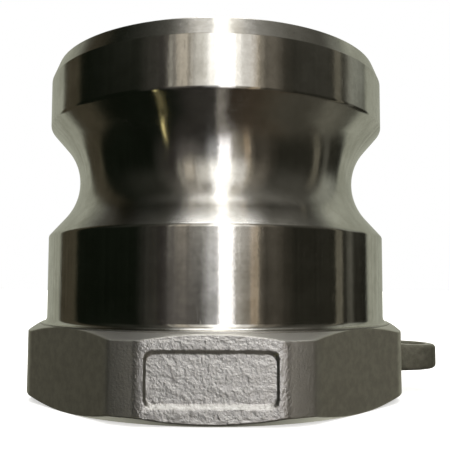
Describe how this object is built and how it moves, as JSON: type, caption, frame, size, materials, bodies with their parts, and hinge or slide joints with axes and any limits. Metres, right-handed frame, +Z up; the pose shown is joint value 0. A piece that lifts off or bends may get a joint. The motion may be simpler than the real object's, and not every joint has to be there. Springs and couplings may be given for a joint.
{
  "type": "cam and groove pipe adapter",
  "caption": "Male cam and groove pipe adapter: turned head with a cam groove over an eight-flat base with a female pipe socket, name pad and chain lug.",
  "frame": {"origin": "on the adapter's axis, in the plane of the base's lower face, at the mouth of the pipe socket", "axes": "+Z up along the axis towards the head; -Y out of the flat with the name pad; +X out of the flat with the chain lug"},
  "size_m": [0.075, 0.0658, 0.06],
  "materials": {
    "stainless_steel": "turned bright on head, groove and barrel; blasted casting on the base and lug",
    "seal_ptfe": "plain off-white, slightly waxy"
  },
  "bodies": {
    "root": {"adapter_body": "stainless_steel", "thread_seal": "seal_ptfe"}
  },
  "joints": []
}
